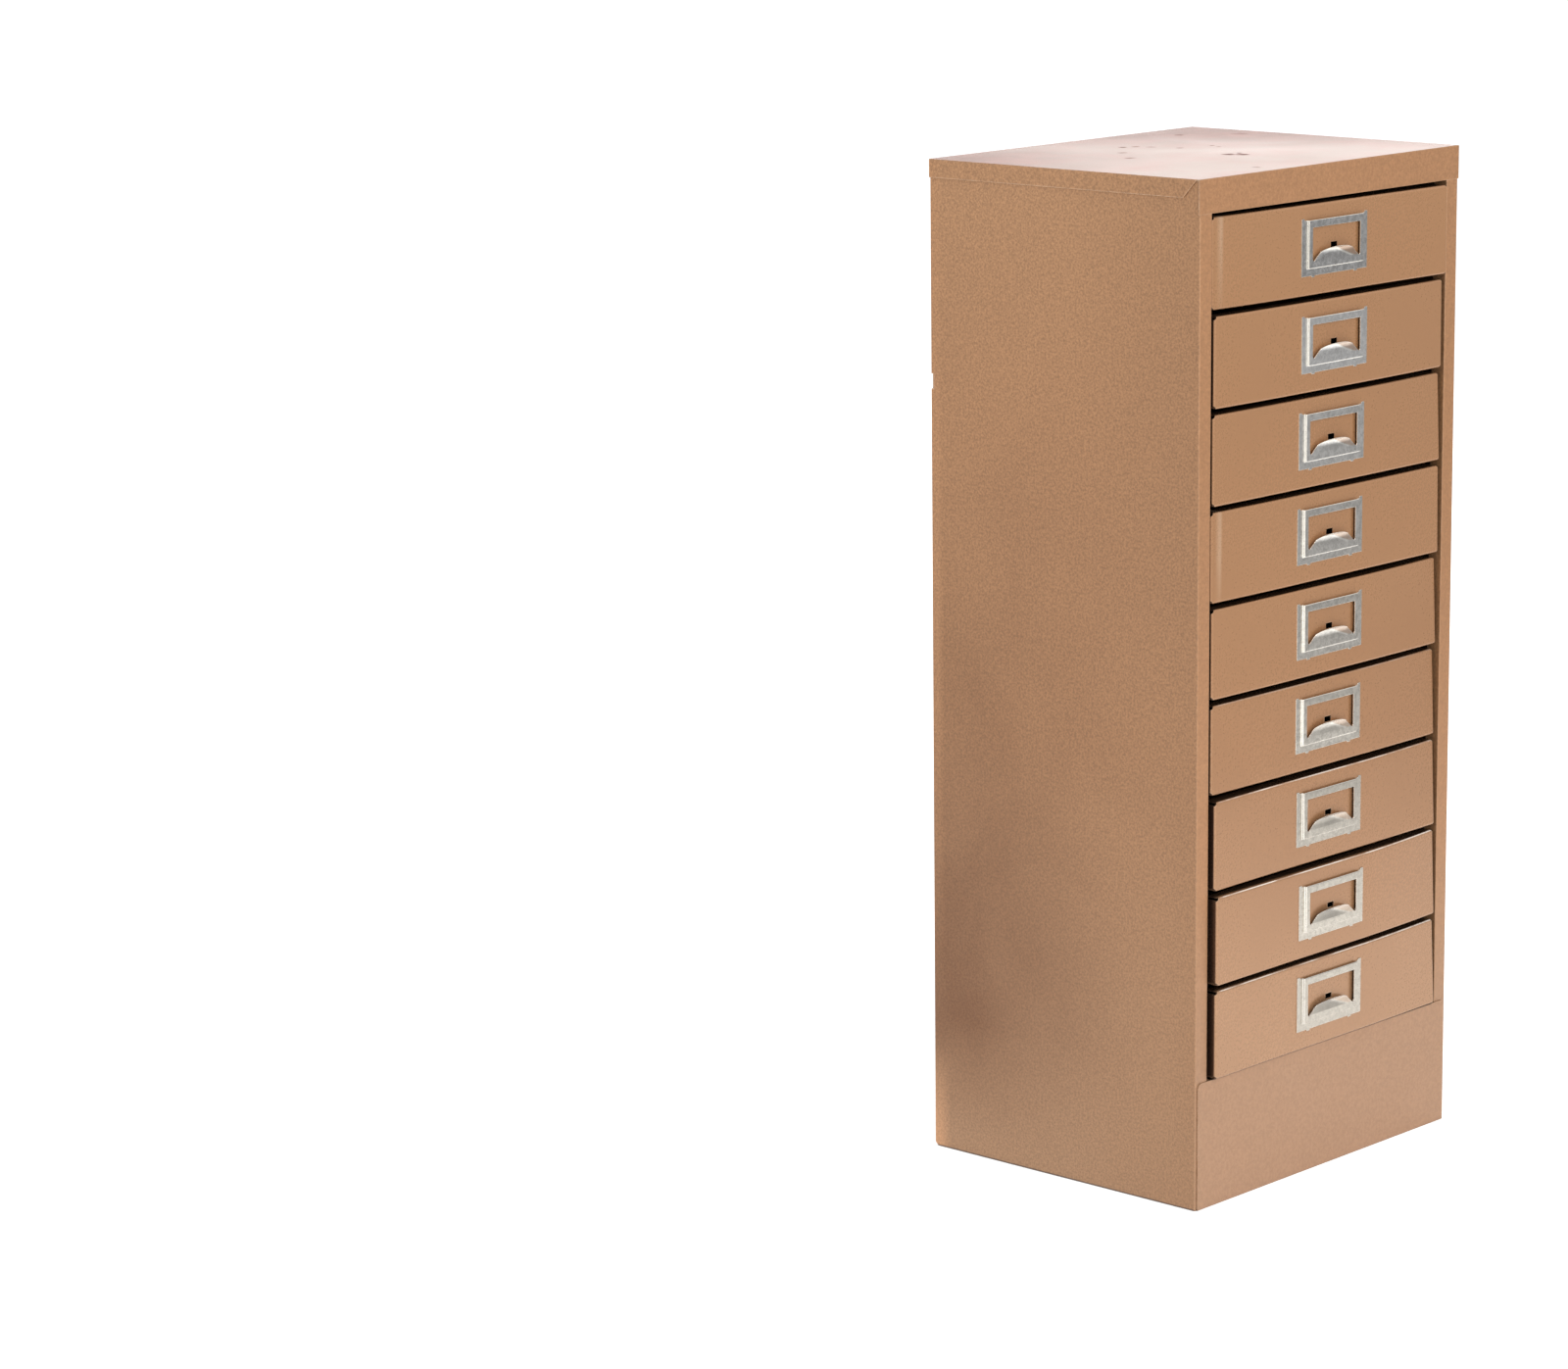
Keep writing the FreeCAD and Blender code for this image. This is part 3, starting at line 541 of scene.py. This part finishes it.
def cupped(point, face, foot):
    """Where a point of a pull lies once its lip is dished, its ends curving back toward the drawer."""
    stand = face - LABEL_STAND - point.y
    if stand <= 0 or point.z < foot:
        return point
    side = point.x / LIP_HALF
    dish = LIP_DISH[0] * side ** 2 + LIP_DISH[1] * side ** 4
    return Vector((point.x, point.y + stand * dish, point.z))


def make_drawer(number):
    """A drawer's front and tray, sprung out of true, and its pull with the dished lip."""
    body = f"drawer_{number}"
    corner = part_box(f"{body}_front")[0]
    face, level = corner[1], corner[2]
    cuts = planes(0, 0.0, FRONT_ACROSS) + planes(2, level, FRONT_UP) + planes(1, face, FRONT_BACK)
    for part, slot, material in (("front", "drawer_paint", FRONTS), ("tray", "tray_paint", TRAYS)):
        piece = reshape(f"{body}_{part}", f"{body}_{part}_sheet", body, cuts,
                        lambda point: sprung(point, face, level, BOW[number]))
        dress(piece, material)
    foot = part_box(f"{body}_pull")[0][2] + PULL_FOOT
    cuts = planes(0, 0.0, LIP_ACROSS) + planes(2, foot, LIP_UP)
    piece = reshape(f"{body}_pull", f"{body}_pull_sheet", body, cuts,
                    lambda point: cupped(point, face, foot))
    dress(piece, plating(f"plating_{number}", foot, *PLATING[number]))


def case_material(node):
    """The paint or metal of a piece that isn't in a drawer."""
    if "runner" in node or "channel" in node:
        return RUNNERS
    if node == "back_screws":
        return SCREWS
    return LID if node == "top_pan" else CASE


for number in range(1, DRAWERS + 1):
    make_drawer(number)

for node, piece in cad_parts.items():
    if not node.startswith("drawer_"):
        dress(piece, case_material(node))


# ---------------------------------------------------------------- studio

def make_floor():
    """A pale paper floor, brightest round the cabinet and darker far off to the right."""
    signs = ((-1, -1), (1, -1), (1, 1), (-1, 1))
    corners = [(x * FLOOR_HALF, y * FLOOR_HALF, FLOOR_LEVEL) for x, y in signs]
    mesh = bpy.data.meshes.new("floor")
    mesh.from_pydata(corners, [], [(0, 1, 2, 3)])
    floor = bpy.data.objects.new("floor", mesh)
    bpy.context.scene.collection.objects.link(floor)
    m = Recipe("floor_paper")
    across, along = m.axes()[:2]
    away = m.math("SUBTRACT", m.product(across, FADE_SLOPE), m.math("ADD", along, FADE_OFFSET))
    shade = m.span(away, 0.6, 2.2)
    color = m.mix(shade, (0.9, 0.9, 0.9), (0.42, 0.42, 0.42))
    diffuse = m.add("ShaderNodeBsdfDiffuse", {"Color": color})
    strength = m.span(shade, 0.0, 1.0, 0.45, 0.12)
    glow = m.add("ShaderNodeEmission", {"Color": (1, 1, 1, 1), "Strength": strength})
    both = m.add("ShaderNodeAddShader", {0: diffuse.outputs[0], 1: glow.outputs[0]})
    m.tree.links.new(both.outputs[0], m.add("ShaderNodeOutputMaterial").inputs["Surface"])
    mesh.materials.append(m.material)


def make_light(name, place, aim, size, power):
    """A soft box that faces a point."""
    data = bpy.data.lights.new(name, "AREA")
    data.shape = "RECTANGLE"
    data.size, data.size_y = size
    data.energy = power
    light = bpy.data.objects.new(name, data)
    bpy.context.scene.collection.objects.link(light)
    light.location = place
    light.rotation_mode = "QUATERNION"
    light.rotation_quaternion = (Vector(aim) - Vector(place)).to_track_quat("-Z", "Y")


def make_camera():
    """The long lens that looks at the cabinet's left front edge from a little above."""
    data = bpy.data.cameras.new("camera")
    data.sensor_width = SENSOR_WIDTH
    data.lens = LENS
    camera = bpy.data.objects.new("camera", data)
    bpy.context.scene.collection.objects.link(camera)
    right = Vector(CAMERA_RIGHT)
    up = Vector(CAMERA_UP)
    turn = Matrix((right, up, right.cross(up))).transposed().to_4x4()
    camera.matrix_world = Matrix.Translation(CAMERA_PLACE) @ turn
    bpy.context.scene.camera = camera


def make_world():
    """Even white light from all round."""
    world = bpy.data.worlds.new("studio")
    world.use_nodes = True
    background = world.node_tree.nodes["Background"]
    background.inputs["Color"].default_value = (1.0, 1.0, 1.0, 1.0)
    background.inputs["Strength"].default_value = 0.8
    bpy.context.scene.world = world
    bpy.context.scene.view_settings.view_transform = "Standard"
    bpy.context.scene.view_settings.look = "None"


make_floor()
make_light("rear_box", (3.6, 3.2, 2.0), (0, 0, 0.9), (4.0, 1.8), 42.0)
make_light("left_box", (-2.3, 0.5, 2.0), (-0.2, 0, 0.9), (0.9, 0.9), 8.0)
make_light("overhead_box", (-0.6, -0.6, 3.4), (0, 0, 0.4), (2.5, 2.5), 25.0)
make_light("front_box", (-0.8, -3.6, 2.1), (0, 0, 0.65), (2.0, 2.0), 88.0)
make_camera()
make_world()
